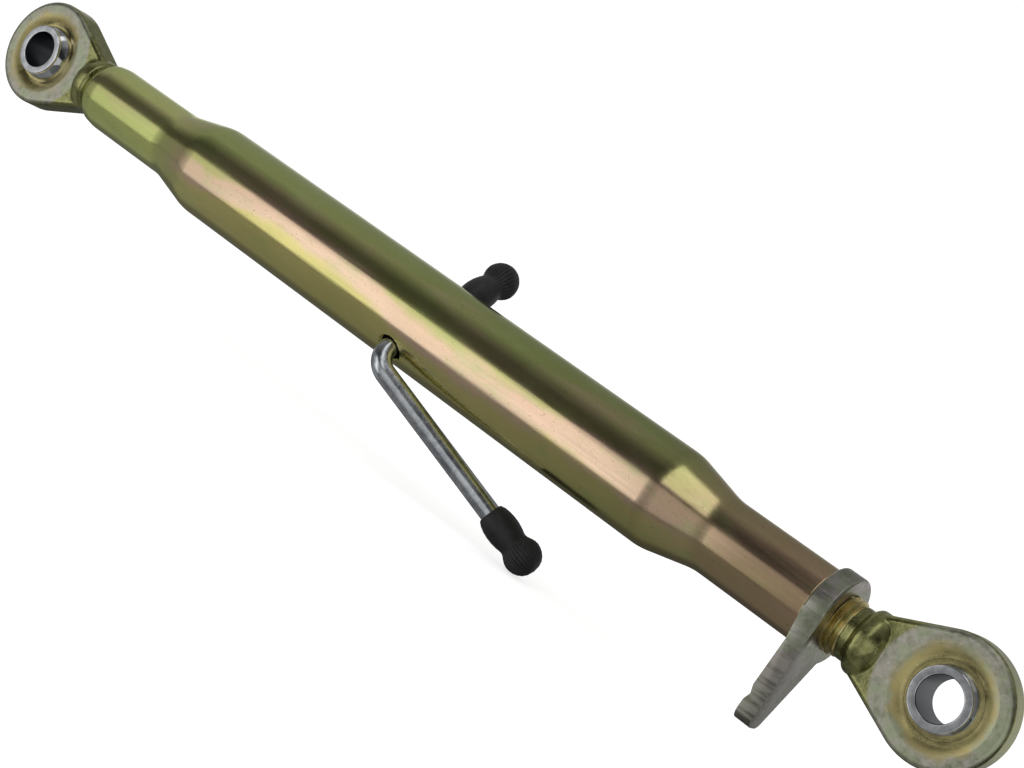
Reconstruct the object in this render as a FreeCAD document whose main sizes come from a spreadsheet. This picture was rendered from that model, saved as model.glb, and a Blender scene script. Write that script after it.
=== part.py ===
"""Adjustable tractor top link with a ball eye at each end, as a FreeCAD 1.1 document in millimetres.

The link lies along X. The origin is the centre of the tractor ball, and +X runs towards the
implement. Both pin bores lie along Y, and +Z is up. The link is drawn screwed together to its
shortest length, with the lock nut tight against the barrel.

A swaged tube, the barrel, is threaded at both ends, one right-hand and one left-hand, so turning
it drives the two threaded eye ends in or out together. A bent rod through the middle of the
barrel turns it, and a lock nut with a lever holds it. Threads are drawn as plain shanks at their
outside diameter.
"""
import FreeCAD, Part
import math
import os

import Sketcher

os.makedirs("parts", exist_ok=True)
doc = FreeCAD.newDocument("TopLink")

# ---------------------------------------------------------------- driving dimensions

SIZES = [
    # the ball in each eye
    ("ball_radius", 17.3, "sphere of the ball"),
    ("ball_width", 24.5, "width over the two flat ends"),
    ("land_radius", 13.5, "short cylinder at each end of the ball"),
    ("pin_bore_radius", 9.7, "bore for the 19 mm pin"),
    ("ball_chamfer", 0.6, "chamfers of the ball's ends"),
    ("ball_gap", 0.08, "radial running gap between ball and seat"),
    # the forged eye
    ("eye_radius", 28.8, "outside of the flat eye"),
    ("eye_thickness", 16.0, "over the eye's two faces"),
    ("eye_round", 2.5, "rounding of the eye's rim"),
    ("mouth_radius", 16.4, "edge where the seat stops holding the ball"),
    ("face_mouth_radius", 21.0, "outer edge of the chamfer round the seat"),
    ("flank_reach", 42.0, "where the eye's flanks end inside the collar"),
    ("flank_half_width", 13.1, "half the width of the flanks there"),
    # the round collar between the eye and the thread
    ("collar_radius", 15.2, "crest of the collar"),
    ("collar_start", 30.8, "from the ball centre to the collar's nose"),
    ("collar_nose_radius", 7.4, "round nose that runs into the eye"),
    ("collar_crest_end", 40.2, "from the ball centre to the end of the crest"),
    ("collar_end", 43.6, "from the ball centre to the neck"),
    ("collar_back_radius", 4.2, "rounding from the crest down to the neck"),
    ("nose_blend", 2.5, "hollow where the nose runs into the eye's faces"),
    ("neck_radius", 12.4, "plain neck behind the collar"),
    ("neck_length", 4.6, "neck before the thread starts"),
    # the thread, the same size right-hand and left-hand
    ("thread_radius", 13.5, "outside of the M27 x 3 thread"),
    ("thread_pitch", 3.0, "advance for one turn"),
    ("thread_gap", 0.05, "radial gap of the threads as plain cylinders"),
    ("turns", 36.0, "turns of the barrel from shortest to longest"),
    # the stop ring near the inner end of each thread
    ("wire_radius", 1.5, "round wire of the stop ring"),
    ("ring_bite", 1.3, "how deep the wire sits in its groove"),
    ("ring_gap", 0.1, "gap between the wire and its groove"),
    ("ring_angle", 330.0, "how far the split ring reaches round the shank"),
    ("stop_gap", 0.3, "left between ring and barrel at full length"),
    ("shank_tail", 4.5, "from the ring to the inner end of the shank"),
    # the barrel
    ("barrel_start", 45.0, "from the tractor ball centre to the barrel's end"),
    ("barrel_length", 485.6, "length of the barrel"),
    ("tube_radius", 24.15, "outside of the middle tube"),
    ("tube_wall", 4.0, "wall of the middle tube"),
    ("swaged_radius", 17.8, "outside of the swaged ends"),
    ("tractor_swage", 64.1, "swaged length at the tractor end"),
    ("implement_swage", 56.0, "swaged length at the implement end"),
    ("cone_length", 26.5, "taper from tube to swaged end"),
    ("cone_round", 30.0, "rounding where the tapers start and stop"),
    ("lip_radius", 15.0, "radius of the barrel's end face at the tractor"),
    ("lip_length", 9.0, "length of the rounded lip there"),
    ("end_chamfer", 1.0, "chamfer of the barrel's end at the lock nut"),
    # the handle through the barrel
    ("handle_place", 249.3, "from the barrel's tractor end to the cross hole"),
    ("handle_hole_radius", 6.25, "cross hole in the barrel"),
    ("handle_tilt", 135.0, "angle of the cross hole about the barrel"),
    ("handle_lean", 27.5, "angle of the folded leg to the barrel"),
    ("rod_radius", 5.0, "bar of the handle"),
    ("rod_bend", 10.0, "bend radius of the bar's centre line"),
    ("leg_length", 123.0, "from the cross hole to the end of the front grip"),
    ("grip_length", 33.0, "length of each grip"),
    ("grip_mouth_radius", 6.0, "open end of the grip"),
    ("grip_belly_radius", 24.6, "curve of the grip's belly"),
    ("grip_waist_radius", 6.9, "narrow place before the knob"),
    ("grip_waist_round", 2.0, "rounding of that narrow place"),
    ("knob_radius", 9.2, "knob at the grip's end"),
    ("grip_end_wall", 5.0, "rubber behind the end of the bar"),
    ("grip_gap", 0.05, "gap between bar and grip"),
    ("leg_gap", 0.5, "knob to barrel when the leg is folded"),
    ("seat_gap", 0.3, "between faces that meet"),
    # the lock nut
    ("nut_thickness", 10.2, "thickness of the nut's head"),
    ("nut_radius", 20.8, "outside of the nut's head"),
    ("lever_reach", 53.6, "from the axis to the tip of the lever"),
    ("lever_front", 25.0, "front edge of the tip, off the axis"),
    ("lever_tip_width", 11.5, "width of the tip"),
    ("lever_tip_round", 4.5, "rounded corners of the tip"),
    ("lever_root_back", 7.5, "where the back edge leaves the head"),
    ("lever_root_depth", 13.0, "how far below the axis it leaves"),
    ("lever_root_round", 8.0, "curve from the head into the back edge"),
    ("lever_step", 2.2, "how much thinner the lever is than the head"),
    ("step_end", 15.0, "where the slope from head to lever ends"),
    ("notch_place", 41.5, "shallow notch before the tip"),
    ("notch_depth", 3.4, "depth of the notch"),
    ("notch_half_width", 3.5, "half the length of the notch"),
    # the implement end
    ("nut_to_eye", 54.6, "from the nut's face to the implement ball centre"),
]

sheet = doc.addObject("Spreadsheet::Sheet", "Sizes")
NUMBERS = {}
for row, (alias, number, note) in enumerate(SIZES, start=1):
    sheet.set("A%d" % row, note)
    sheet.set("B%d" % row, str(number))
    sheet.setAlias("B%d" % row, alias)
    NUMBERS[alias] = number
doc.recompute()


class Value:
    """A size as a number, for a sketch's first drawing, and as the expression that drives it."""

    def __init__(self, number, text):
        self.number = number
        self.text = text

    def __add__(self, other):
        return combine(self, "+", other, self.number + as_value(other).number)

    def __sub__(self, other):
        return combine(self, "-", other, self.number - as_value(other).number)

    def __mul__(self, other):
        return combine(self, "*", other, self.number * as_value(other).number)

    def __truediv__(self, other):
        return combine(self, "/", other, self.number / as_value(other).number)

    def __neg__(self):
        return Value(-self.number, "(-1 * %s)" % self.text)


def as_value(thing):
    return thing if isinstance(thing, Value) else Value(float(thing), repr(float(thing)))


def combine(left, sign, right, number):
    return Value(number, "(%s %s %s)" % (left.text, sign, as_value(right).text))


def root(value):
    return Value(math.sqrt(value.number), "sqrt(%s)" % value.text)


def leg(long_side, short_side):
    """The other short side of a right-angled triangle."""
    return root(long_side * long_side - short_side * short_side)


def size(alias):
    return Value(NUMBERS[alias], "Sizes.%s" % alias)


ZERO = Value(0.0, "0")
NOSE_SAMPLES = 9

# ---------------------------------------------------------------- places worked out from the sizes

BARREL_START = size("barrel_start")
BARREL_END = BARREL_START + size("barrel_length")
BORE_RADIUS = size("thread_radius") + size("thread_gap")
TUBE_BORE = size("tube_radius") - size("tube_wall")
SWAGE_A = BARREL_START + size("tractor_swage")
CONE_A = SWAGE_A + size("cone_length")
SWAGE_B = BARREL_END - size("implement_swage")
CONE_B = SWAGE_B - size("cone_length")
HANDLE_X = BARREL_START + size("handle_place")

NUT_START = BARREL_END + size("seat_gap")
NUT_END = NUT_START + size("nut_thickness")
IMPLEMENT_X = NUT_END + size("nut_to_eye")

TRAVEL = size("turns") * size("thread_pitch")
RING_RADIUS = size("thread_radius") - size("ring_bite") + size("wire_radius")
CONE_RISE = TUBE_BORE - BORE_RADIUS
CONE_SLANT = root(size("cone_length") * size("cone_length") + CONE_RISE * CONE_RISE)
# the ring's wire meets the barrel's inner cone this far inside the threaded end
RING_STOP = (((size("wire_radius") + size("stop_gap")) * CONE_SLANT
              + (RING_RADIUS - BORE_RADIUS) * size("cone_length")) / CONE_RISE)
RING_PLACE = IMPLEMENT_X - (SWAGE_B - RING_STOP - TRAVEL)
SHANK_END = RING_PLACE + size("shank_tail")

LEG_HEIGHT = size("tube_radius") + size("leg_gap") + size("knob_radius")
GRIP_BORE = size("rod_radius") + size("grip_gap")
GRIP_DEPTH = size("grip_length") - size("grip_end_wall")
REAR_GRIP = size("tube_radius") + size("seat_gap")
FRONT_GRIP = size("leg_length") - size("grip_length")

# ---------------------------------------------------------------- drawing tools


def new_body(label):
    body = doc.addObject("PartDesign::Body", label)
    body.Label = label
    return body


def place(body, along=ZERO, turn=None):
    """Put a body at a distance along X, turned by the expression of a rotation."""
    turn = turn or "rotation(vector(0; 0; 1); 0)"
    body.setExpression("Placement", "placement(vector(%s; 0; 0); %s)" % (along.text, turn))


def new_sketch(body, name, plane, offset=None):
    sketch = body.newObject("Sketcher::SketchObject", name)
    for feature in body.Origin.OriginFeatures:
        if feature.Role == plane:
            sketch.AttachmentSupport = [(feature, "")]
    sketch.MapMode = "FlatFace"
    if offset is not None:
        sketch.setExpression("AttachmentOffset.Base.z", offset.text)
    return sketch


def drive(sketch, constraint, value):
    """Add a constraint and let the sheet set its value."""
    index = sketch.addConstraint(constraint)
    sketch.setExpression("Constraints[%d]" % index, value.text)


def fix_point(sketch, edge, end, point):
    for kind, axis, value in (("DistanceX", -2, point[0]), ("DistanceY", -1, point[1])):
        if value is ZERO:
            sketch.addConstraint(Sketcher.Constraint("PointOnObject", edge, end, axis))
        else:
            drive(sketch, Sketcher.Constraint(kind, edge, end, value.number), value)


def add_line(sketch, start, stop):
    return sketch.addGeometry(Part.LineSegment(flat(start), flat(stop)), False), 1, 2


def add_arc(sketch, start, stop, radius, side):
    """A short arc between two points; side +1 has its centre left of the way, -1 right of it."""
    begin = flat(start)
    finish = flat(stop)
    chord = finish - begin
    rise = math.sqrt(max(radius.number ** 2 - chord.Length ** 2 / 4, 0.0))
    left = FreeCAD.Vector(-chord.y, chord.x, 0) / chord.Length
    centre = (begin + finish) / 2 + left * rise * side
    first, second = (begin, finish) if side > 0 else (finish, begin)
    circle = Part.Circle(centre, FreeCAD.Vector(0, 0, 1), radius.number)
    angles = [math.atan2((p - centre).y, (p - centre).x) for p in (first, second)]
    if angles[1] < angles[0]:
        angles[1] += 2 * math.pi
    edge = sketch.addGeometry(Part.ArcOfCircle(circle, angles[0], angles[1]), False)
    drive(sketch, Sketcher.Constraint("Radius", edge, radius.number), radius)
    return (edge, 1, 2) if side > 0 else (edge, 2, 1)


def flat(point):
    return FreeCAD.Vector(point[0].number, point[1].number, 0)


def outline(body, name, plane, corners, closed=True, offset=None):
    """Draw an outline whose corners are (x, y) or (x, y, radius, side) for an arc to the next."""
    sketch = new_sketch(body, name, plane, offset)
    following = corners[1:] + corners[:1]
    pairs = list(zip(corners, following)) if closed else list(zip(corners, corners[1:]))
    edges = []
    for corner, after in pairs:
        if len(corner) == 4:
            edges.append(add_arc(sketch, corner, after, corner[2], corner[3]))
        else:
            edges.append(add_line(sketch, corner, after))
    for (edge, _, stop), (later, start, _) in zip(edges, edges[1:] + edges[:1]):
        if closed or edge != edges[-1][0]:
            sketch.addConstraint(Sketcher.Constraint("Coincident", edge, stop, later, start))
    for (edge, start, _), corner in zip(edges, corners):
        fix_point(sketch, edge, start, corner)
    if not closed:
        fix_point(sketch, edges[-1][0], edges[-1][2], corners[-1])
    return sketch


def ring(body, name, plane, centre, radius, offset=None):
    """Draw one circle."""
    sketch = new_sketch(body, name, plane, offset)
    circle = Part.Circle(flat(centre), FreeCAD.Vector(0, 0, 1), radius.number)
    edge = sketch.addGeometry(circle, False)
    drive(sketch, Sketcher.Constraint("Radius", edge, radius.number), radius)
    fix_point(sketch, edge, 3, centre)
    return sketch


def turn(body, name, sketch, axis, cut=False, angle=360.0):
    """Revolve a sketch about its own horizontal (H_Axis) or vertical (V_Axis) axis."""
    kind = "PartDesign::Groove" if cut else "PartDesign::Revolution"
    feature = body.newObject(kind, name)
    feature.Profile = sketch
    feature.ReferenceAxis = (sketch, [axis])
    feature.Angle = angle
    finish(feature)
    return feature


def extrude(body, name, sketch, length=None, middle=False, cut=False, back=False):
    """Pad or pocket a sketch; a pocket without a length goes through everything, both ways."""
    feature = body.newObject("PartDesign::Pocket" if cut else "PartDesign::Pad", name)
    feature.Profile = sketch
    feature.Reversed = back
    if length is None:
        feature.Type = "ThroughAll"
        feature.SideType = "Symmetric"
    else:
        feature.setExpression("Length", length.text)
        feature.SideType = "Symmetric" if middle else "One side"
    finish(feature)
    return feature


def finish(feature):
    """Recompute, and stop if a cut took nothing away or a feature added nothing."""
    doc.recompute()
    base = feature.BaseFeature
    before = base.Shape.Volume if base else 0.0
    after = feature.Shape.Volume
    if abs(after - before) < 0.001:
        raise RuntimeError("%s changes nothing" % feature.Name)


def soften(body, name, base, radius, wanted):
    """Fillet the edges of the last feature that the function wanted accepts."""
    names = []
    for number, edge in enumerate(base.Shape.Edges, start=1):
        if wanted(edge):
            names.append("Edge%d" % number)
    feature = body.newObject("PartDesign::Fillet", name)
    feature.Base = (base, names)
    feature.setExpression("Radius", radius.text)
    finish(feature)
    return feature


def ends(edge):
    return [vertex.Point for vertex in edge.Vertexes]


def same(first, second):
    return abs(first - second) < 0.01


def is_circle(edge, along, radius):
    """Whether an edge is the circle of this radius round the body's X axis, at this place on it."""
    if edge.Degenerated or edge.Curve.TypeId != "Part::GeomCircle":
        return False
    return same(edge.Curve.Center.x, along.number) and same(edge.Curve.Radius, radius.number)


# ---------------------------------------------------------------- the balls


def make_ball(label, along):
    """A sphere with a short land and a flat at each end, bored for the pin along Y."""
    body = new_body(label)
    half = size("ball_width") / 2
    bevel = size("ball_chamfer")
    bore = size("pin_bore_radius")
    land = size("land_radius")
    sphere = size("ball_radius")
    shoulder = leg(sphere, land)
    corners = [
        (bore, -(half - bevel)),
        (bore + bevel, -half),
        (land - bevel, -half),
        (land, -(half - bevel)),
        (land, -shoulder, sphere, 1),
        (land, shoulder),
        (land, half - bevel),
        (land - bevel, half),
        (bore + bevel, half),
        (bore, half - bevel),
    ]
    turn(body, "Ball", outline(body, "BallSection", "XY_Plane", corners), "V_Axis")
    place(body, along)
    return body


# ---------------------------------------------------------------- the forged eye ends


def eye_outline(body):
    """The flat eye from the side: a circle whose flanks run straight and tangent to the collar."""
    radius = size("eye_radius")
    reach = size("flank_reach")
    half = size("flank_half_width")
    spread = reach * reach + half * half
    grip = leg(root(spread), radius)
    touch_x = radius * (radius * reach - half * grip) / spread
    touch_z = radius * (radius * half + reach * grip) / spread
    corners = [
        (reach, -half),
        (reach, half),
        (touch_x, touch_z, radius, 1),
        (-radius, ZERO, radius, 1),
        (touch_x, -touch_z),
    ]
    return outline(body, "EyeOutline", "XZ_Plane", corners)


def collar_and_shank(body):
    """Half the section of everything round on the forging, from the collar to the inner end."""
    crest = size("collar_radius")
    nose = size("collar_nose_radius")
    start = size("collar_start")
    neck = size("neck_radius")
    thread = size("thread_radius")
    neck_end = size("collar_end") + size("neck_length")
    chamfer = thread - neck
    groove = size("ring_bite") + size("ring_gap")
    half_groove = size("wire_radius") + size("ring_gap")
    corners = [
        (start - size("eye_round"), ZERO),
        (start - size("eye_round"), crest - nose),
        (start, crest - nose, nose, -1),
        (start + nose, crest),
        (size("collar_crest_end"), crest, size("collar_back_radius"), -1),
        (size("collar_end"), neck),
        (neck_end, neck),
        (neck_end + chamfer, thread),
        (RING_PLACE - half_groove, thread),
        (RING_PLACE - half_groove, thread - groove),
        (RING_PLACE + half_groove, thread - groove),
        (RING_PLACE + half_groove, thread),
        (SHANK_END - chamfer, thread),
        (SHANK_END, neck),
        (SHANK_END, ZERO),
    ]
    return outline(body, "ShankSection", "XY_Plane", corners)


def on_collar(point):
    """Whether a point lies on the collar's nose or crest."""
    start = NUMBERS["collar_start"]
    nose = NUMBERS["collar_nose_radius"]
    crest = NUMBERS["collar_radius"]
    before_crest = max(start + nose - point.x, 0.0)
    radius = crest - nose + math.sqrt(max(nose ** 2 - before_crest ** 2, 0.0))
    inside = start - 0.01 < point.x < NUMBERS["flank_reach"] + 0.01
    return inside and same(math.hypot(point.y, point.z), radius)


def seat_section(body):
    """Half the section of the ball's seat: a spherical band that opens to both faces."""
    seat = size("ball_radius") + size("ball_gap")
    mouth = size("mouth_radius")
    face_mouth = size("face_mouth_radius")
    half = size("eye_thickness") / 2
    beyond = half + size("ball_chamfer")
    band = leg(seat, mouth)
    corners = [
        (ZERO, -beyond),
        (face_mouth, -beyond),
        (face_mouth, -half),
        (mouth, -band, seat, 1),
        (mouth, band),
        (face_mouth, half),
        (face_mouth, beyond),
        (ZERO, beyond),
    ]
    return outline(body, "SeatSection", "XY_Plane", corners)


def make_end(label, along, turned):
    """Eye, collar, neck and threaded shank forged in one piece, with the ball's seat in the eye."""
    body = new_body(label)
    eye = extrude(body, "Eye", eye_outline(body), size("eye_thickness"), middle=True)
    half = NUMBERS["eye_thickness"] / 2
    reach = NUMBERS["flank_reach"]

    def on_rim(edge):
        level = all(same(abs(point.y), half) for point in ends(edge))
        return level and not all(same(point.x, reach) for point in ends(edge))

    def on_nose(edge):
        if edge.Degenerated:
            return False
        points = edge.discretize(NOSE_SAMPLES)
        level = same(min(point.x for point in points), max(point.x for point in points))
        return not level and all(on_collar(point) for point in points)

    soften(body, "RimRound", eye, size("eye_round"), on_rim)
    shank = turn(body, "Shank", collar_and_shank(body), "H_Axis")
    soften(body, "NoseBlend", shank, size("nose_blend"), on_nose)
    turn(body, "Seat", seat_section(body), "V_Axis", cut=True)
    place(body, along, turned)
    return body


def make_stop_ring(label, along):
    """The split ring of round wire that keeps the shank from leaving the barrel."""
    body = new_body(label)
    section = ring(body, "WireSection", "XY_Plane", (ZERO, RING_RADIUS), size("wire_radius"))
    wire = turn(body, "Wire", section, "H_Axis", angle=NUMBERS["ring_angle"])
    wire.setExpression("Angle", size("ring_angle").text)
    place(body, along)
    return body


# ---------------------------------------------------------------- the barrel


def make_barrel():
    """The swaged tube, threaded at both ends and open between them, with the handle's cross hole."""
    body = new_body("barrel")
    tube = size("tube_radius")
    swaged = size("swaged_radius")
    lip = size("lip_radius")
    length = size("lip_length")
    chamfer = size("end_chamfer")
    drop = swaged - lip
    curve = (length * length + drop * drop) / (drop * 2)
    corners = [
        (BARREL_START, BORE_RADIUS),
        (BARREL_START, lip, curve, -1),
        (BARREL_START + length, swaged),
        (SWAGE_A, swaged),
        (CONE_A, tube),
        (CONE_B, tube),
        (SWAGE_B, swaged),
        (BARREL_END - chamfer, swaged),
        (BARREL_END, swaged - chamfer),
        (BARREL_END, BORE_RADIUS),
        (SWAGE_B, BORE_RADIUS),
        (CONE_B, TUBE_BORE),
        (CONE_A, TUBE_BORE),
        (SWAGE_A, BORE_RADIUS),
    ]
    shell = turn(body, "Tube", outline(body, "TubeSection", "XY_Plane", corners), "H_Axis")
    bends = [(SWAGE_A, swaged), (CONE_A, tube), (CONE_B, tube), (SWAGE_B, swaged)]

    def on_bend(edge):
        return any(is_circle(edge, along, radius) for along, radius in bends)

    soften(body, "ConeRound", shell, size("cone_round"), on_bend)
    hole = ring(body, "CrossHoleCircle", "XY_Plane", (HANDLE_X, ZERO), size("handle_hole_radius"))
    extrude(body, "CrossHole", hole, cut=True)
    place(body, ZERO, CROSS)
    return body


# the barrel's cross hole, the bar and both grips share the hole's direction as their own Z
CROSS = "rotation(vector(1; 0; 0); Sizes.handle_tilt)"
LEANED = CROSS + " * rotation(vector(0; 0; 1); -Sizes.handle_lean)"

# ---------------------------------------------------------------- the handle


def make_rod():
    """A round bar straight through the barrel, bent at the front into a leg that folds flat."""
    body = new_body("handle_rod")
    bend = size("rod_bend")
    path = [
        (ZERO, -(REAR_GRIP + GRIP_DEPTH - size("grip_gap"))),
        (ZERO, LEG_HEIGHT - bend, bend, -1),
        (bend, LEG_HEIGHT),
        (FRONT_GRIP + GRIP_DEPTH - size("grip_gap"), LEG_HEIGHT),
    ]
    spine = outline(body, "RodPath", "XZ_Plane", path, closed=False)
    profile = ring(body, "RodSection", "XY_Plane", (ZERO, ZERO), size("rod_radius"), path[0][1])
    rod = body.newObject("PartDesign::AdditivePipe", "Rod")
    rod.Profile = profile
    rod.Spine = spine
    finish(rod)
    place(body, HANDLE_X, LEANED)
    return body


def make_grip(label, start, upright):
    """A moulded rubber grip: a belly, a waist and a round knob, with a blind bore for the bar."""
    body = new_body(label)
    knob = size("knob_radius")
    waist = size("grip_waist_radius")
    knob_place = size("grip_length") - knob
    waist_place = knob_place - leg(knob, waist)
    corners = [
        (start, GRIP_BORE),
        (start, size("grip_mouth_radius"), size("grip_belly_radius"), -1),
        (start + waist_place, waist, knob, -1),
        (start + knob_place, knob, knob, -1),
        (start + size("grip_length"), ZERO),
        (start + GRIP_DEPTH, ZERO),
        (start + GRIP_DEPTH, GRIP_BORE),
    ]
    section = outline(body, "GripSection", "XY_Plane", corners)
    grip = turn(body, "Grip", section, "H_Axis")

    def on_waist(edge):
        return is_circle(edge, start + waist_place, waist)

    soften(body, "WaistRound", grip, size("grip_waist_round"), on_waist)
    if upright:
        place(body, HANDLE_X, CROSS + " * rotation(vector(0; 1; 0); 90)")
    else:
        lift = "vector(0; 0; %s)" % LEG_HEIGHT.text
        body.setExpression("Placement", "placement(vector(%s; 0; 0); %s) * placement(%s; %s)" % (
            HANDLE_X.text, LEANED, lift, "rotation(vector(0; 0; 1); 0)"))
    return body


# ---------------------------------------------------------------- the lock nut


def make_lock_nut():
    """A round forged nut with a flat lever that leaves its head at a tangent."""
    body = new_body("lock_nut")
    head_radius = size("nut_radius")
    thick = size("nut_thickness")
    reach = size("lever_reach")
    front = size("lever_front")
    tip_back = front - size("lever_tip_width")
    head = ring(body, "HeadCircle", "YZ_Plane", (ZERO, ZERO), head_radius)
    extrude(body, "Head", head, thick)
    corners = [
        (-head_radius, ZERO),
        (-front, -reach),
        (-tip_back, -reach),
        (size("lever_root_back"), -size("lever_root_depth")),
        (ZERO, ZERO),
    ]
    lever = extrude(body, "Lever", outline(body, "LeverOutline", "YZ_Plane", corners), thick)

    def on_tip(edge):
        points = ends(edge)
        if len(points) != 2 or same(points[0].x, points[1].x):
            return False
        return same(points[0].z, -reach.number)

    def on_root(edge):
        points = ends(edge)
        if len(points) != 2 or same(points[0].x, points[1].x):
            return False
        return points[0].y > 0 and points[0].z < -size("lever_root_depth").number

    tip = soften(body, "TipRound", lever, size("lever_tip_round"), on_tip)
    soften(body, "RootRound", tip, size("lever_root_round"), on_root)
    step = size("lever_step")
    notch = size("notch_place")
    half_notch = size("notch_half_width")
    beyond = size("seat_gap")
    profile = [
        (-beyond, ZERO),
        (ZERO, ZERO),
        (step, -size("step_end")),
        (step, -(notch - half_notch)),
        (size("notch_depth"), -notch),
        (step, -(notch + half_notch)),
        (step, -(reach + beyond)),
        (-beyond, -(reach + beyond)),
    ]
    extrude(body, "LeverThinning", outline(body, "SideOutline", "XZ_Plane", profile), cut=True)
    bore = ring(body, "BoreCircle", "YZ_Plane", (ZERO, ZERO), BORE_RADIUS)
    extrude(body, "Bore", bore, cut=True)
    place(body, NUT_START)
    return body


# ---------------------------------------------------------------- the assembly

FACING_BACK = "rotation(vector(0; 0; 1); 180)"

bodies = [
    make_ball("tractor_ball", ZERO),
    make_ball("implement_ball", IMPLEMENT_X),
    make_end("tractor_end", ZERO, None),
    make_end("implement_end", IMPLEMENT_X, FACING_BACK),
    make_stop_ring("tractor_stop_ring", RING_PLACE),
    make_stop_ring("implement_stop_ring", IMPLEMENT_X - RING_PLACE),
    make_barrel(),
    make_rod(),
    make_grip("front_grip", FRONT_GRIP, False),
    make_grip("rear_grip", REAR_GRIP, True),
    make_lock_nut(),
]
doc.recompute()

for thing in doc.Objects:
    if "Invalid" in thing.State or "Error" in thing.State:
        raise RuntimeError("%s could not be worked out" % thing.Name)
for body in bodies:
    if body.Shape.isNull() or not body.Shape.isValid():
        raise RuntimeError("%s is not a sound solid" % body.Label)
for body in bodies:
    body.Shape.exportStep("parts/%s.step" % body.Label)

print("pin centres %.1f apart, %.1f more at full length" % (IMPLEMENT_X.number, TRAVEL.number * 2))
print("stop rings %.1f from their ball centres" % RING_PLACE.number)
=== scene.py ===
"""The look of a tractor top link, built on its CAD frame, with the floor, the light and the camera."""

import math

import bmesh
import bpy
from mathutils import Matrix, Vector


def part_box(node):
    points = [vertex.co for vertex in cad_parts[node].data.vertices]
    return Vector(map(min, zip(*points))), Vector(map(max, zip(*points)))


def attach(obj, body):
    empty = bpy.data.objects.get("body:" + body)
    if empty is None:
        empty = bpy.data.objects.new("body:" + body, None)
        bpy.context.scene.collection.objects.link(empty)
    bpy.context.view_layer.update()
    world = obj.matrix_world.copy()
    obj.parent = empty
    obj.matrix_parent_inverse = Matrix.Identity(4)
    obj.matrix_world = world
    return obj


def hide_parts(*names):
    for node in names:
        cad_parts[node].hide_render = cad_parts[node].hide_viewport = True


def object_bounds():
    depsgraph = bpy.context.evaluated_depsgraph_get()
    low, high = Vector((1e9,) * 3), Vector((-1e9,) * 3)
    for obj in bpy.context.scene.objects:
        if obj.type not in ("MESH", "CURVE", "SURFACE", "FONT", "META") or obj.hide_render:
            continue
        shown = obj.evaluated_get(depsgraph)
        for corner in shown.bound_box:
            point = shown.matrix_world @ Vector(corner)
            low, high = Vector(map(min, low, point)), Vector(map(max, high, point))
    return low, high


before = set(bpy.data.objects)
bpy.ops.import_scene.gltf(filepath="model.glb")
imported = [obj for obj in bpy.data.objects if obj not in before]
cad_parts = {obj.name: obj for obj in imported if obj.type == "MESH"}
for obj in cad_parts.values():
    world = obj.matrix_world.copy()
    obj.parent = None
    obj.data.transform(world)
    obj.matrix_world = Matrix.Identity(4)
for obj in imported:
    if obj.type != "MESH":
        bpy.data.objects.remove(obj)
cad_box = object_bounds()

MM = 0.001

# ---------------------------------------------------------------- sizes, in millimetres

BARREL_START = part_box("barrel")[0][0] / MM
BARREL_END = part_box("barrel")[1][0] / MM
NUT_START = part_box("lock_nut")[0][0] / MM
NUT_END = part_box("lock_nut")[1][0] / MM
SHANK_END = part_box("tractor_end")[1][0] / MM
EYE_BEYOND_NUT = 54.6
HANDLE_PLACE = 249.3
IMPLEMENT_X = NUT_END + EYE_BEYOND_NUT
HANDLE_X = BARREL_START + HANDLE_PLACE

# Radii, and the wall of the tube.
TUBE = 24.15
WALL = 4.0
SWAGED = 17.8
THREAD = 13.5
THREAD_ROOT = 11.9
BORE = 13.55
BALL = 17.3
EYE = 28.8

# The thread starts a little inside the neck.
THREAD_START = 47.8
PITCH = 3.0

# The steps of an arc are at most this long, in millimetres, and this wide, in radians.
LONGEST_STEP = 1.2
WIDEST_STEP = 0.2

# ---------------------------------------------------------------- mesh tools


def new_object(name, vertices, faces):
    mesh = bpy.data.meshes.new(name)
    mesh.from_pydata([Vector(v) * MM for v in vertices], [], faces)
    mesh.update()
    item = bpy.data.objects.new(name, mesh)
    bpy.context.scene.collection.objects.link(item)
    return item


def fillet(corners):
    """Points of an outline whose corners (x, y, radius) are rounded by arcs."""
    points = []
    count = len(corners)
    for index, corner in enumerate(corners):
        here = Vector(corner[:2])
        radius = corner[2] if len(corner) > 2 else 0.0
        if radius == 0.0:
            points.append(tuple(here))
            continue
        before = (Vector(corners[index - 1][:2]) - here).normalized()
        after = (Vector(corners[(index + 1) % count][:2]) - here).normalized()
        half = before.angle(after) / 2
        middle = here + (before + after).normalized() * (radius / math.sin(half))
        first = here + before * (radius / math.tan(half)) - middle
        sweep = math.pi - 2 * half
        side = -1 if before.x * after.y - before.y * after.x > 0 else 1
        steps = max(3, math.ceil(sweep * radius / LONGEST_STEP), math.ceil(sweep / WIDEST_STEP))
        for step in range(steps + 1):
            angle = side * sweep * step / steps
            turned = Matrix.Rotation(angle, 2) @ first
            points.append(tuple(middle + turned))
    return points


def lathe(name, profile, steps=144):
    """Turn a closed profile of (x, radius) points about the X axis."""
    vertices = []
    for x, radius in profile:
        for step in range(steps):
            angle = 2 * math.pi * step / steps
            vertices.append((x, radius * math.cos(angle), radius * math.sin(angle)))
    faces = []
    rows = len(profile)
    for row in range(rows):
        here = row * steps
        beyond = (row + 1) % rows * steps
        for step in range(steps):
            after = (step + 1) % steps
            faces.append((here + step, beyond + step, beyond + after, here + after))
    item = new_object(name, vertices, faces)
    tidy_mesh(item)
    return item


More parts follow.
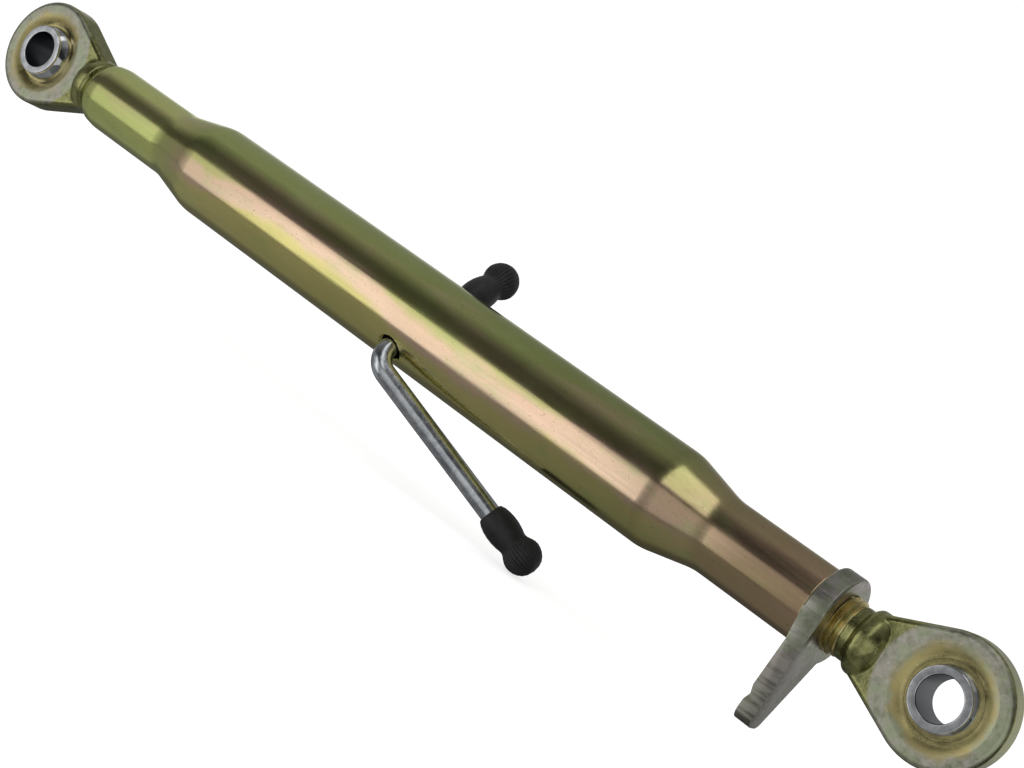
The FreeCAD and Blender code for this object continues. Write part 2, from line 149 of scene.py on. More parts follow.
def tidy_mesh(item):
    """Merge doubled points, such as those on the axis, and turn the faces outwards."""
    shape = bmesh.new()
    shape.from_mesh(item.data)
    bmesh.ops.remove_doubles(shape, verts=shape.verts, dist=1e-6)
    bmesh.ops.recalc_face_normals(shape, faces=shape.faces)
    shape.to_mesh(item.data)
    shape.free()


def smooth(item, angle=32):
    item.data.shade_smooth()
    item.data.set_sharp_from_angle(angle=math.radians(angle))


def extrude_outline(name, outline, start, end):
    """A prism along X from an outline of (y, z) points."""
    count = len(outline)
    vertices = [(start, y, z) for y, z in outline] + [(end, y, z) for y, z in outline]
    faces = [tuple(range(count)), tuple(range(2 * count - 1, count - 1, -1))]
    for index in range(count):
        after = (index + 1) % count
        faces.append((index, after, count + after, count + index))
    item = new_object(name, vertices, faces)
    tidy_mesh(item)
    return item


def apply_modifiers(item):
    bpy.context.view_layer.update()
    graph = bpy.context.evaluated_depsgraph_get()
    mesh = bpy.data.meshes.new_from_object(item.evaluated_get(graph))
    item.modifiers.clear()
    item.data = mesh


def combine(item, other, operation):
    """Join another solid to this one, or cut it away, and drop the other."""
    change = item.modifiers.new("combine", "BOOLEAN")
    change.operation = operation
    change.solver = "EXACT"
    change.object = other
    apply_modifiers(item)
    bpy.data.objects.remove(other)


def bevel(item, width, segments=3, angle=40):
    rounding = item.modifiers.new("bevel", "BEVEL")
    rounding.width = width * MM
    rounding.segments = segments
    rounding.limit_method = "ANGLE"
    rounding.angle_limit = math.radians(angle)
    apply_modifiers(item)


def place(item, matrix):
    item.data.transform(matrix)


# Swaps X and Y, so a prism along X becomes one along Y.
SWAP = Matrix(((0, 1, 0, 0), (1, 0, 0, 0), (0, 0, 1, 0), (0, 0, 0, 1)))


def shift(x, y=0.0, z=0.0):
    return Matrix.Translation(Vector((x, y, z)) * MM)


# The cross hole's own axes: Z runs along the hole, out of its front mouth.
CROSS = shift(HANDLE_X) @ Matrix.Rotation(math.radians(135), 4, "X")

# ---------------------------------------------------------------- the balls


def make_ball(name, along):
    """A ball with two flat lands, bored along Y and centred on the X axis."""
    land = 13.5
    half_width = 12.25
    bore = 9.7
    arc_steps = 48
    start = math.acos(math.sqrt(BALL * BALL - land * land) / BALL)
    profile = []
    for step in range(arc_steps + 1):
        angle = start + (math.pi - 2 * start) * step / arc_steps
        profile.append((BALL * math.cos(angle), BALL * math.sin(angle)))
    ends = fillet([
        (-half_width, land, 0.5),
        (-half_width, bore, 0.6),
        (half_width, bore, 0.6),
        (half_width, land, 0.5),
    ])
    item = lathe(name, profile + ends, steps=128)
    place(item, shift(along) @ Matrix.Rotation(math.pi / 2, 4, "Z"))
    smooth(item, 28)
    return item


# ---------------------------------------------------------------- the forged eyes


def make_eye(name):
    """The tractor end's forging, with the eye at the origin and the shank towards +X."""
    reach = 42.0
    width = 13.1
    half_pad = 8.0
    outline_steps = 120
    distance = math.hypot(reach, width)
    tangent = math.atan2(width, reach) + math.acos(EYE / distance)
    outline = [(reach, -width), (reach, width)]
    for step in range(outline_steps + 1):
        angle = tangent + (2 * math.pi - 2 * tangent) * step / outline_steps
        outline.append((EYE * math.cos(angle), EYE * math.sin(angle)))
    pad = extrude_outline(name, outline, -half_pad, half_pad)
    place(pad, SWAP)
    tidy_mesh(pad)
    bevel(pad, 2.6, segments=6)
    collar = lathe("collar", fillet([
        (30.8, 0.0),
        (30.8, 15.2, 7.4),
        (42.4, 15.2, 3.0),
        (43.8, 12.4, 0.6),
        (48.2, 12.4),
        (48.2, 0.0),
    ]), steps=96)
    combine(pad, collar, "UNION")
    remesh = pad.modifiers.new("remesh", "REMESH")
    remesh.mode = "VOXEL"
    remesh.voxel_size = 0.5 * MM
    relax = pad.modifiers.new("relax", "SMOOTH")
    relax.factor = 0.5
    relax.iterations = 8
    apply_modifiers(pad)
    seat_radius = BALL + 0.08
    mouth = 16.4
    cutter_end = 8.6
    seat_steps = 24
    edge = math.sqrt(seat_radius ** 2 - mouth ** 2)
    dish = [
        (edge, mouth),
        (edge + 0.15, 16.75),
        (edge + 0.5, 17.3),
        (7.0, 18.9),
        (7.7, 20.6),
        (half_pad, 22.6),
        (cutter_end, 28.0),
    ]
    seat = [(-along, radius) for along, radius in reversed(dish)]
    for step in range(1, seat_steps):
        along = -edge + 2 * edge * step / seat_steps
        seat.append((along, math.sqrt(seat_radius ** 2 - along * along)))
    cutter = lathe("seat", seat + dish + [(cutter_end, 0.0), (-cutter_end, 0.0)], steps=160)
    place(cutter, Matrix.Rotation(math.pi / 2, 4, "Z"))
    combine(pad, cutter, "DIFFERENCE")
    smooth(pad, 30)
    return pad


def make_thread(name, start, end, hand):
    """A helical thread from start to end, faded out at both ends. The hand is 1 or -1."""
    around = 72
    fade_length = 2.5
    crest_end = 0.14
    root_start = 0.5
    root_end = 0.64
    per_turn = [0.0, 0.07, crest_end, 0.26, 0.38, root_start, 0.57, root_end, 0.76, 0.88]
    vertices = []
    rows = []
    first = math.floor(start / PITCH) - 1
    last = math.ceil(end / PITCH) + 1
    for turn in range(first, last):
        rows += [turn + part for part in per_turn]

    def height(part):
        if part < crest_end:
            return 1.0
        if part < root_start:
            return 1.0 - (part - crest_end) / (root_start - crest_end)
        if part < root_end:
            return 0.0
        return (part - root_end) / (1.0 - root_end)

    for row in rows:
        for step in range(around):
            share = step / around
            x = (row + hand * share) * PITCH
            x = min(max(x, start), end)
            fade = min(1.0, (x - start) / fade_length, (end - x) / fade_length)
            part = row - math.floor(row)
            radius = THREAD_ROOT + (THREAD - THREAD_ROOT) * height(part) * max(fade, 0.0)
            angle = 2 * math.pi * share
            vertices.append((x, radius * math.cos(angle), radius * math.sin(angle)))
    faces = []
    count = len(rows)
    pitch_rows = len(per_turn)
    for row in range(count - 1):
        for step in range(around):
            after = step + 1
            if after < around:
                here, there = row * around + step, row * around + after
                above, across = here + around, there + around
            else:
                jump = hand * pitch_rows
                if not 0 <= row + jump < count - 1:
                    continue
                here, there = row * around + step, (row + jump) * around
                above, across = here + around, there + around
            faces.append((here, above, across, there))
    item = new_object(name, vertices, faces)
    shape = bmesh.new()
    shape.from_mesh(item.data)
    bmesh.ops.remove_doubles(shape, verts=shape.verts, dist=2e-6)
    bmesh.ops.dissolve_degenerate(shape, edges=shape.edges, dist=1e-6)
    bmesh.ops.holes_fill(shape, edges=shape.edges, sides=0)
    bmesh.ops.recalc_face_normals(shape, faces=shape.faces)
    shape.to_mesh(item.data)
    shape.free()
    smooth(item, 30)
    return item


# ---------------------------------------------------------------- the barrel


def make_barrel():
    """The swaged tube, drilled across for the handle."""
    start = BARREL_START
    end = BARREL_END
    cone_length = 26.5
    blend = 34.0
    first_swage = start + 64.1
    first_cone = first_swage + cone_length
    last_swage = end - 56.0
    last_cone = last_swage - cone_length
    section = fillet([
        (start, 13.8),
        (start, 15.1, 0.5),
        (start + 3.0, 17.0, 5.0),
        (start + 9.0, SWAGED, 16.0),
        (first_swage, SWAGED, blend),
        (first_cone, TUBE, blend),
        *[(HANDLE_X + away, TUBE) for away in (-20.0, -10.0, 0.0, 10.0, 20.0)],
        (last_cone, TUBE, blend),
        (last_swage, SWAGED, blend),
        (end, SWAGED, 1.0),
        (end, 14.0),
        (end - 0.4, BORE),
        (last_swage, BORE),
        (last_cone, TUBE - WALL),
        (first_cone, TUBE - WALL),
        (first_swage, BORE),
        (start + 0.4, BORE),
    ])
    item = lathe("barrel_tube", section, steps=192)
    hole = 6.25
    worn = 7.6
    drill_end = 60.0
    drill = lathe("drill", fillet([
        (-drill_end, 0.0),
        (-drill_end, 10.0),
        (-TUBE - 0.3, worn),
        (-TUBE + 1.3, hole),
        (TUBE - 1.3, hole),
        (TUBE + 0.3, worn),
        (drill_end, 10.0),
        (drill_end, 0.0),
    ]), steps=96)
    place(drill, CROSS @ Matrix.Rotation(-math.pi / 2, 4, "Y"))
    combine(item, drill, "DIFFERENCE")
    smooth(item, 24)
    return item


# ---------------------------------------------------------------- the handle

LEANED = CROSS @ Matrix.Rotation(math.radians(-27.5), 4, "Z")
KNOB = 9.2
GRIP_LENGTH = 33.0
GRIP_DEPTH = 28.0
LEG_LENGTH = 123.0
LEG_HEIGHT = TUBE + 0.5 + KNOB
REAR_GRIP = TUBE + 0.3
FRONT_GRIP = LEG_LENGTH - GRIP_LENGTH


def make_rod():
    """The bar, swept along its bent centre line."""
    radius = 5.0
    bend = 10.0
    bend_steps = 16
    spacing = 8
    in_grip = GRIP_DEPTH - 0.1
    outward = Vector((0, 0, 1))
    leg = Vector((1, 0, 0))
    centres = [(Vector((0, 0, -(REAR_GRIP + in_grip))), outward)]
    for z in range(-40, int(LEG_HEIGHT - bend), spacing):
        centres.append((Vector((0, 0, z)), outward))
    for step in range(bend_steps + 1):
        angle = math.pi / 2 * step / bend_steps
        height = LEG_HEIGHT - bend + bend * math.sin(angle)
        centre = Vector((bend - bend * math.cos(angle), 0, height))
        centres.append((centre, Vector((math.sin(angle), 0, math.cos(angle)))))
    for x in range(16, int(FRONT_GRIP + in_grip), spacing):
        centres.append((Vector((x, 0, LEG_HEIGHT)), leg))
    centres.append((Vector((FRONT_GRIP + in_grip, 0, LEG_HEIGHT)), leg))
    around = 48
    vertices = []
    sideways = Vector((0, 1, 0))
    for centre, along in centres:
        up = along.cross(sideways)
        for step in range(around):
            angle = 2 * math.pi * step / around
            vertices.append(centre + radius * (math.cos(angle) * sideways + math.sin(angle) * up))
    faces = [tuple(range(around)), tuple(range(len(vertices) - 1, len(vertices) - 1 - around, -1))]
    for row in range(len(centres) - 1):
        for step in range(around):
            after = (step + 1) % around
            here = row * around
            faces.append((here + step, here + after, here + around + after, here + around + step))
    item = new_object("handle_bar", vertices, faces)
    tidy_mesh(item)
    place(item, LEANED)
    smooth(item, 40)
    return item


def make_grip(name, matrix):
    """A rubber grip whose knob has ribs along it."""
    hole = 5.05
    ribs = 30
    rib_depth = 0.45
    profile = [
        (0.0, hole), (0.0, 5.8), (0.6, 6.3), (2.3, 7.1), (5.0, 7.75), (8.0, 8.05), (11.0, 8.0),
        (14.0, 7.6), (16.2, 7.05), (17.5, 6.9), (18.8, 7.25), (20.3, 8.1), (22.0, 8.85),
        (24.0, KNOB), (26.0, 8.95), (28.0, 8.3), (29.8, 7.2), (31.4, 5.6), (32.5, 3.4), (GRIP_LENGTH, 0.0),
    ]
    item = lathe(name, profile + [(GRIP_DEPTH, 0.0), (GRIP_DEPTH, hole)], steps=180)
    for vertex in item.data.vertices:
        x, y, z = vertex.co / MM
        radius = math.hypot(y, z)
        if radius < 5.5:
            continue
        knob = max(0.0, min(1.0, (x - 16.5) / 3.0)) * max(0.0, min(1.0, (radius - 5.6) / 1.5))
        groove = max(0.0, math.cos(ribs * math.atan2(z, y))) ** 2
        cut = 1.0 - rib_depth * knob * groove / radius
        vertex.co.y *= cut
        vertex.co.z *= cut
    place(item, matrix)
    smooth(item, 40)
    return item


# ---------------------------------------------------------------- the lock nut


def make_lock_nut():
    """A round nut with its lever, which is thinner on the barrel's side and has a groove across it."""
    head = 20.8
    clear = 5.0
    outline = [
        (-head, 0.0),
        (-25.0, -53.6, 4.5),
        (-13.5, -53.6, 4.5),
        (7.5, -13.0, 6.0),
        (0.0, 0.0),
    ]
    nut = lathe("lock_nut_head", fillet([
        (NUT_START, BORE),
        (NUT_START, head, 1.2),
        (NUT_END, head, 1.2),
        (NUT_END, BORE),
    ]), steps=160)
    lever = extrude_outline("lever", fillet(outline), NUT_START, NUT_END)
    thinned = NUT_START + 2.2
    thinning = extrude_outline("thinning", [
        (NUT_START - clear, 1.0),
        (NUT_START - 0.1, 1.0),
        (thinned, -15.0),
        (thinned, -38.0),
        (thinned + 1.2, -41.5),
        (thinned, -45.0),
        (thinned, -60.0),
        (NUT_START - clear, -60.0),
    ], -40.0, 40.0)
    place(thinning, SWAP)
    tidy_mesh(thinning)
    combine(lever, thinning, "DIFFERENCE")
    bevel(lever, 1.1, angle=50)
    combine(nut, lever, "UNION")
    bore = lathe("bore", [
        (NUT_START - clear, 0.0),
        (NUT_START - clear, BORE),
        (NUT_END + clear, BORE),
        (NUT_END + clear, 0.0),
    ])
    combine(nut, bore, "DIFFERENCE")
    smooth(nut, 30)
    return nut


# ---------------------------------------------------------------- materials


class Nodes:
    """Short ways to add nodes to a tree."""

    def __init__(self, tree):
        self.tree = tree

    def node(self, kind, inputs=None, **settings):
        node = self.tree.nodes.new(kind)
        for key, value in settings.items():
            setattr(node, key, value)
        for key, value in (inputs or {}).items():
            if isinstance(value, bpy.types.NodeSocket):
                self.tree.links.new(value, node.inputs[key])
            else:
                node.inputs[key].default_value = value
        return node

    def ramp(self, value, stops, smooth=False):
        node = self.node("ShaderNodeValToRGB", {"Fac": value})
        band = node.color_ramp
        band.interpolation = "EASE" if smooth else "LINEAR"
        while len(band.elements) < len(stops):
            band.elements.new(0.5)
        for element, (position, colour) in zip(band.elements, stops):
            element.position = position
            grey = isinstance(colour, float)
            element.color = (colour, colour, colour, 1.0) if grey else (*colour, 1.0)
        return node.outputs["Color"]

    def math(self, operation, first, second):
        return self.node("ShaderNodeMath", {0: first, 1: second}, operation=operation).outputs["Value"]


class Paint(Nodes):
    """A material, with ways to paint it."""

    def __init__(self, name, **values):
        self.material = bpy.data.materials.new(name)
        self.material.use_nodes = True
        super().__init__(self.material.node_tree)
        self.shader = self.tree.nodes["Principled BSDF"]
        for socket, value in values.items():
            self.shader.inputs[socket.replace("_", " ")].default_value = value

    def place(self, scale=(1, 1, 1)):
        """Points of the object in metres, stretched by scale."""
        where = self.node("ShaderNodeTexCoord").outputs["Object"]
        return self.node("ShaderNodeMapping", {"Vector": where, "Scale": scale}).outputs["Vector"]

    def noise(self, scale, stretch=(1, 1, 1), detail=4.0, roughness=0.55):
        settings = {"Vector": self.place(stretch), "Scale": scale, "Detail": detail, "Roughness": roughness}
        return self.node("ShaderNodeTexNoise", settings).outputs["Fac"]

    def axes(self):
        where = self.node("ShaderNodeTexCoord").outputs["Object"]
        parts = self.node("ShaderNodeSeparateXYZ", {"Vector": where}).outputs
        return parts["X"], parts["Y"], parts["Z"]

    def radius(self, first, second):
        squares = self.math("ADD", self.math("POWER", first, 2.0), self.math("POWER", second, 2.0))
        return self.math("SQRT", squares, 0.0)

    def span(self, value, start, end):
        """0 at start and 1 at end, eased between them."""
        node = self.node("ShaderNodeMapRange", {"Value": value, "From Min": start, "From Max": end},
                         interpolation_type="SMOOTHSTEP")
        return node.outputs["Result"]

    def mix(self, share, first, second):
        node = self.node("ShaderNodeMix", data_type="RGBA")
        for key, value in ((0, share), (6, first), (7, second)):
            if isinstance(value, bpy.types.NodeSocket):
                self.tree.links.new(value, node.inputs[key])
            elif key == 0:
                node.inputs[key].default_value = value
            else:
                node.inputs[key].default_value = (*value, 1.0)
        return node.outputs[2]

    def feed(self, socket, value):
        self.tree.links.new(value, self.shader.inputs[socket])

    def bump(self, height, strength, distance):
        node = self.node("ShaderNodeBump", {"Height": height, "Strength": strength, "Distance": distance})
        self.feed("Normal", node.outputs["Normal"])


def barrel_zinc():
    """Yellow passivated tube: olive green and gold with pink and green stains drawn out along it, and a
    painted pink-cream highlight tint in a band round it at mid height.
    """
    paint = Paint("barrel_zinc", Metallic=1.0)
    along, _, height = paint.axes()
    streak = paint.noise(34.0, (0.22, 1.0, 1.0), detail=6.0, roughness=0.62)
    patch = paint.noise(20.0, (0.45, 1.0, 1.0), detail=4.0)
    mottle = paint.noise(90.0, (0.35, 1.0, 1.0), detail=5.0, roughness=0.65)
    wander = paint.math("MULTIPLY", paint.math("SUBTRACT", patch, 0.5), 0.9)
    # Colour by height round the tube: golden olive below and olive green on top. The pink-cream band at mid
    # height, where the highlight falls, is a painted highlight tint. The wander adds real stains.
    level = paint.math("ADD", paint.math("MULTIPLY", height, 0.5 / (TUBE * MM)), wander)
    level = paint.math("ADD", level, 0.5)
    middle = paint.ramp(level, [
        (0.05, (0.62, 0.57, 0.20)),
        (0.34, (0.74, 0.66, 0.26)),
        (0.46, (0.84, 0.62, 0.44)),
        (0.60, (0.80, 0.58, 0.40)),
        (0.72, (0.56, 0.56, 0.22)),
        (0.95, (0.48, 0.54, 0.19)),
    ], smooth=True)
    near = paint.span(paint.math("ADD", along, paint.math("MULTIPLY", wander, 0.03)), 0.150, 0.105)
    golden = paint.mix(near, middle, (0.72, 0.78, 0.28))
    far = paint.span(paint.math("ADD", along, paint.math("MULTIPLY", wander, 0.05)), 0.430, 0.500)
    rosy = paint.mix(paint.math("MULTIPLY", far, 0.8), golden, (0.74, 0.52, 0.33))
    greenish = paint.ramp(mottle, [(0.50, 0.0), (0.68, 1.0)], smooth=True)
    stained = paint.mix(paint.math("MULTIPLY", greenish, 0.38), rosy, (0.50, 0.66, 0.26))
    pinkish = paint.ramp(streak, [(0.52, 0.0), (0.70, 1.0)], smooth=True)
    tinted = paint.mix(paint.math("MULTIPLY", pinkish, 0.42), stained, (0.88, 0.56, 0.46))
    speck = paint.noise(1300.0, (0.6, 1.0, 1.0), detail=2.0)
    pits = paint.ramp(speck, [(0.26, 1.0), (0.34, 0.0)])
    paint.feed("Base Color", paint.mix(paint.math("MULTIPLY", pits, 0.6), tinted, (0.14, 0.12, 0.06)))
    drawn = paint.noise(700.0, (0.03, 1.0, 1.0), detail=3.0)
    rough = paint.math("ADD", paint.math("MULTIPLY", mottle, 0.5), paint.math("MULTIPLY", drawn, 0.5))
    paint.feed("Roughness", paint.ramp(rough, [(0.35, 0.12), (0.65, 0.24)]))
    paint.bump(drawn, 0.10, 0.0002)
    return paint.material


def eye_zinc(name, centre):
    """Forged eye: worn grey green faces, yellow gold round the ball and olive sides."""
    paint = Paint(name, Metallic=1.0)
    along, side, height = paint.axes()
    reach = paint.radius(paint.math("SUBTRACT", along, centre * MM), height)
    blotch = paint.noise(85.0, detail=6.0, roughness=0.6)
    fine = paint.noise(330.0, detail=5.0, roughness=0.65)
    wander = paint.math("MULTIPLY", paint.math("SUBTRACT", blotch, 0.5), 0.012)
    face = paint.ramp(fine, [
        (0.30, (0.34, 0.36, 0.24)),
        (0.46, (0.50, 0.50, 0.40)),
        (0.58, (0.62, 0.58, 0.50)),
        (0.72, (0.70, 0.72, 0.62)),
    ], smooth=True)
    face = paint.mix(paint.ramp(blotch, [(0.46, 0.0), (0.62, 0.5)], smooth=True), face, (0.50, 0.60, 0.34))
    gold = paint.span(paint.math("ADD", reach, wander), 0.0245, 0.0195)
    face = paint.mix(paint.math("MULTIPLY", gold, 0.85), face, (0.62, 0.52, 0.20))
    flat = paint.span(paint.math("ABSOLUTE", side, 0.0), 0.0062, 0.0076)
    pad = paint.span(reach, 0.0315, 0.0295)
    worn = paint.math("MULTIPLY", flat, pad)
    olive = paint.ramp(fine, [(0.35, (0.30, 0.31, 0.12)), (0.65, (0.46, 0.46, 0.20))], smooth=True)
    paint.feed("Base Color", paint.mix(paint.math("MAXIMUM", worn, gold), olive, face))
    coarse = paint.math("ADD", paint.math("MULTIPLY", worn, 0.3), fine)
    paint.feed("Roughness", paint.ramp(coarse, [(0.35, 0.20), (0.95, 0.46)]))
    paint.bump(paint.math("ADD", fine, paint.math("MULTIPLY", blotch, 2.0)), 0.22, 0.0004)
    return paint.material


def thread_zinc():
    """Rolled thread in yellow passivated zinc."""
    paint = Paint("thread_zinc", Metallic=1.0)
    tint = paint.noise(160.0, detail=5.0)
    paint.feed("Base Color", paint.ramp(tint, [
        (0.30, (0.46, 0.38, 0.13)),
        (0.52, (0.70, 0.58, 0.26)),
        (0.72, (0.78, 0.74, 0.40)),
    ], smooth=True))
    paint.feed("Roughness", paint.ramp(tint, [(0.3, 0.18), (0.7, 0.32)]))
    paint.bump(tint, 0.2, 0.0003)
    return paint.material


def nut_zinc():
    """Forged nut: dull grey zinc with faint green and pink, with painted shade darkening it down the lever,
    and marks across it.
    """
    paint = Paint("nut_zinc", Metallic=1.0)
    height = paint.axes()[2]
    blotch = paint.noise(75.0, detail=6.0, roughness=0.6)
    fine = paint.noise(420.0, detail=5.0, roughness=0.65)
    marks = paint.noise(520.0, (0.12, 1.0, 1.0), detail=4.0)
    tone = paint.math("ADD", paint.math("MULTIPLY", blotch, 0.6), paint.math("MULTIPLY", fine, 0.4))
    base = paint.ramp(tone, [
        (0.36, (0.30, 0.33, 0.22)),
        (0.48, (0.42, 0.43, 0.34)),
        (0.56, (0.50, 0.45, 0.43)),
        (0.66, (0.58, 0.58, 0.50)),
    ], smooth=True)
    # Painted shade: lower down, the lever turns towards a near-black colour that the marks streak.
    low = paint.span(paint.math("ADD", height, paint.math("MULTIPLY", blotch, 0.012)), -0.004, -0.024)
    painted_shade = paint.ramp(marks, [(0.40, (0.10, 0.10, 0.075)), (0.62, (0.34, 0.32, 0.29))], smooth=True)
    paint.feed("Base Color", paint.mix(paint.math("MULTIPLY", low, 0.75), base, painted_shade))
    paint.feed("Roughness", paint.ramp(marks, [(0.3, 0.26), (0.7, 0.46)]))
    paint.bump(paint.math("ADD", marks, paint.math("MULTIPLY", blotch, 1.5)), 0.3, 0.0004)
    return paint.material


def rod_zinc(name):
    """Bright zinc bar, bluish grey, with marks drawn along it."""
    paint = Paint(name, Metallic=1.0)
    drawn = paint.noise(420.0, detail=5.0, roughness=0.65)
    cloud = paint.noise(60.0, detail=4.0)
    tone = paint.math("ADD", paint.math("MULTIPLY", drawn, 0.5), paint.math("MULTIPLY", cloud, 0.5))
    paint.feed("Base Color", paint.ramp(tone, [
        (0.38, (0.46, 0.49, 0.53)),
        (0.62, (0.76, 0.79, 0.82)),
    ], smooth=True))
    paint.feed("Roughness", paint.ramp(tone, [(0.35, 0.14), (0.65, 0.28)]))
    paint.bump(drawn, 0.12, 0.0002)
    return paint.material


def ball_chrome(name, centre):
    """Chromed ball, with painted shade in its dull bore."""
    paint = Paint(name, Metallic=1.0)
    along, _, height = paint.axes()
    reach = paint.radius(paint.math("SUBTRACT", along, centre * MM), height)
    wear = paint.noise(240.0, detail=5.0)
    bright = paint.ramp(wear, [(0.35, (0.60, 0.62, 0.65)), (0.65, (0.82, 0.83, 0.85))], smooth=True)
    # Painted shade: the bore is coloured near black, with a duller finish than the chrome.
    bore = paint.span(reach, 0.01015, 0.00985)
    paint.feed("Base Color", paint.mix(bore, bright, (0.10, 0.11, 0.12)))
    polish = paint.ramp(wear, [(0.35, 0.04), (0.7, 0.14)])
    paint.feed("Roughness", paint.mix(bore, polish, (0.34, 0.34, 0.34)))
    return paint.material


def grip_rubber():
    """Moulded black rubber with a fine grain."""
    paint = Paint("grip_rubber", Metallic=0.0)
    grain = paint.noise(1500.0, detail=3.0)
    dust = paint.noise(120.0, detail=4.0)
    shade = paint.ramp(dust, [(0.35, (0.010, 0.010, 0.011)), (0.7, (0.022, 0.022, 0.024))], smooth=True)
    paint.feed("Base Color", shade)
    paint.feed("Roughness", paint.ramp(dust, [(0.3, 0.42), (0.7, 0.6)]))
    paint.bump(grain, 0.25, 0.0002)
    return paint.material


# ---------------------------------------------------------------- dressing the frame


def dress(item, body, slot, material, *nodes):
    item.data.materials.clear()
    item.data.materials.append(material)
    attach(item, body)
    if nodes:
        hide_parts(*nodes)


finishes = {
    "barrel_zinc": barrel_zinc(),
    "nut_zinc": nut_zinc(),
    "rod_zinc": rod_zinc("rod_zinc"),
    "spring_steel": rod_zinc("spring_steel"),
    "grip_rubber": grip_rubber(),
}
for node in ("tractor_stop_ring", "implement_stop_ring"):
    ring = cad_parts[node]
    ring.data.materials.clear()
    ring.data.materials.append(finishes["spring_steel"])

dress(make_barrel(), "barrel", "barrel_zinc", finishes["barrel_zinc"], "barrel")

as_made = Matrix.Identity(4)
facing_back = shift(IMPLEMENT_X) @ Matrix.Rotation(math.pi, 4, "Z")
for side, centre, turn, hand in (
        ("tractor", 0.0, as_made, 1),
        ("implement", IMPLEMENT_X, facing_back, -1)):
    ball = make_ball(side + "_eye_ball", centre)
    dress(ball, side + "_ball", "ball_chrome", ball_chrome(side + "_chrome", centre), side + "_ball")
    eye = make_eye(side + "_eye")
    place(eye, turn)
    dress(eye, side + "_end", "eye_zinc", eye_zinc(side + "_eye_zinc", centre), side + "_end")
    thread = make_thread(side + "_thread", THREAD_START, SHANK_END, hand)
    place(thread, turn)
    dress(thread, side + "_end", "eye_zinc", thread_zinc(), side + "_end")

dress(make_rod(), "handle", "rod_zinc", finishes["rod_zinc"], "handle_rod")
front = LEANED @ shift(FRONT_GRIP, 0.0, LEG_HEIGHT)
dress(make_grip("front_rubber", front), "handle", "grip_rubber", finishes["grip_rubber"], "front_grip")
rear = CROSS @ Matrix.Rotation(math.pi / 2, 4, "Y") @ shift(REAR_GRIP)
dress(make_grip("rear_rubber", rear), "handle", "grip_rubber", finishes["grip_rubber"], "rear_grip")
dress(make_lock_nut(), "lock_nut", "nut_zinc", finishes["nut_zinc"], "lock_nut")

# ---------------------------------------------------------------- floor, light and camera


def make_floor():
    """A pale floor that looks white, with a faint shadow under the object."""
    half = 4000.0
    height = cad_box[0][2] / MM - 0.5
    corners = [(-half, -half, height), (half, -half, height), (half, half, height), (-half, half, height)]
    item = new_object("floor", corners, [(0, 1, 2, 3)])
    item.visible_glossy = False
    grey = (0.4, 0.4, 0.4, 1.0)
    white = (1.0, 1.0, 1.0, 1.0)
    paint = Paint("floor", Base_Color=grey, Roughness=1.0, Emission_Color=white)
    rays = paint.node("ShaderNodeLightPath")
    paint.feed("Emission Strength", paint.math("MULTIPLY", rays.outputs["Is Camera Ray"], 0.72))
    item.data.materials.append(paint.material)


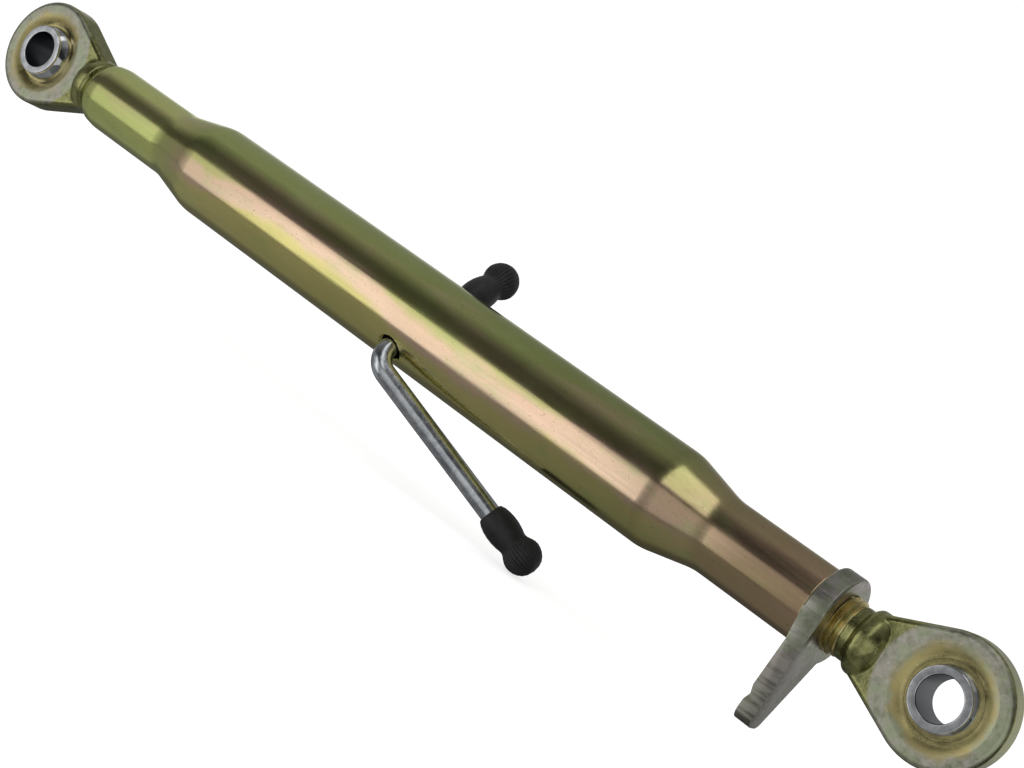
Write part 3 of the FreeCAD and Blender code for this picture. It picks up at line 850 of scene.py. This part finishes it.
def make_world():
    """White for the camera, and for the metal a light box in front, a narrow one over it and dim cards."""
    world = bpy.data.worlds.new("studio")
    bpy.context.scene.world = world
    world.use_nodes = True
    world.node_tree.nodes.clear()
    nodes = Nodes(world.node_tree)
    way = nodes.node("ShaderNodeTexCoord").outputs["Generated"]
    parts = nodes.node("ShaderNodeSeparateXYZ", {"Vector": way}).outputs
    angle = nodes.math("ARCTAN2", parts["Z"], nodes.math("MULTIPLY", parts["Y"], -1.0))
    turned = nodes.math("ADD", nodes.math("MULTIPLY", angle, 1 / (2 * math.pi)), 0.5)
    lengthwise = nodes.math("ADD", nodes.math("MULTIPLY", parts["X"], 0.5), 0.5)

    def around(stops):
        """A level by the way's angle about the X axis, between the stops (degrees, level)."""
        return nodes.ramp(turned, [(degrees / 360 + 0.5, level) for degrees, level in stops])

    def along(stops):
        """A level by the way's X part, between the stops (x, level)."""
        return nodes.ramp(lengthwise, [(x / 2 + 0.5, level) for x, level in stops])

    room = nodes.math("MULTIPLY", around([
        (-180, 0.60), (-168, 0.60), (-158, 0.10), (-122, 0.12), (-106, 0.24), (-47, 0.25), (-36, 0.10),
        (18, 0.10), (26, 0.07), (50, 0.06), (66, 0.16), (84, 0.30), (150, 0.28), (168, 0.60), (180, 0.60),
    ]), along([
        (-0.9, 0.9), (-0.66, 1.2), (-0.38, 0.6), (0.0, 0.8), (0.5, 1.0), (0.62, 0.4),
    ]))
    front_box = nodes.math("MULTIPLY", around([
        (-40, 0.0), (-36, 1.0), (16, 1.0), (20, 0.0),
    ]), along([
        (-0.95, 0.10), (-0.74, 0.35), (-0.66, 0.50), (-0.635, 1.05),
        (-0.405, 1.05), (-0.385, 0.30), (-0.2, 0.15), (0.3, 0.5),
    ]))
    upper_box = nodes.math("MULTIPLY", around([
        (22, 0.0), (30, 0.9), (80, 0.9), (92, 0.0),
    ]), along([
        (-0.14, 0.0), (-0.08, 1.0), (0.12, 1.0), (0.2, 0.0),
    ]))
    reflected = nodes.math("ADD", nodes.math("ADD", room, front_box), upper_box)

    rays = nodes.node("ShaderNodeLightPath").outputs

    def white(strength):
        settings = {"Color": (1, 1, 1, 1), "Strength": strength}
        return nodes.node("ShaderNodeBackground", settings).outputs[0]

    def choose(ray, otherwise, chosen):
        return nodes.node("ShaderNodeMixShader", {0: rays[ray], 1: otherwise, 2: chosen}).outputs[0]

    lighting = choose("Is Glossy Ray", white(0.85), white(reflected))
    nodes.node("ShaderNodeOutputWorld", {"Surface": choose("Is Camera Ray", lighting, white(1.0))})


def make_lamp():
    """A square lamp above and in front, which the metal doesn't mirror."""
    where = Vector((0.0, -1.0, 1.6))
    aim = Vector((0.3, 0.0, 0.0))
    data = bpy.data.lights.new("key", "AREA")
    data.shape = "SQUARE"
    data.size = 1.2
    data.energy = 14.0
    item = bpy.data.objects.new("key", data)
    bpy.context.scene.collection.objects.link(item)
    item.location = where
    item.rotation_euler = (where - aim).to_track_quat("Z", "Y").to_euler()
    item.visible_glossy = False


make_floor()
make_world()
make_lamp()

camera_data = bpy.data.cameras.new("camera")
camera_data.lens = 71.55
camera_data.sensor_width = 36.0
camera = bpy.data.objects.new("camera", camera_data)
bpy.context.scene.collection.objects.link(camera)
right = Vector((0.70481, 0.46116, 0.53903))
up = Vector((-0.50768, -0.20282, 0.83732))
back = Vector((0.49547, -0.86382, 0.09117))
lens_place = Matrix.Translation((0.8092, -0.8004, 0.0855))
camera.matrix_world = lens_place @ Matrix((right, up, back)).transposed().to_4x4()
bpy.context.scene.camera = camera
bpy.context.scene.view_settings.view_transform = "Standard"
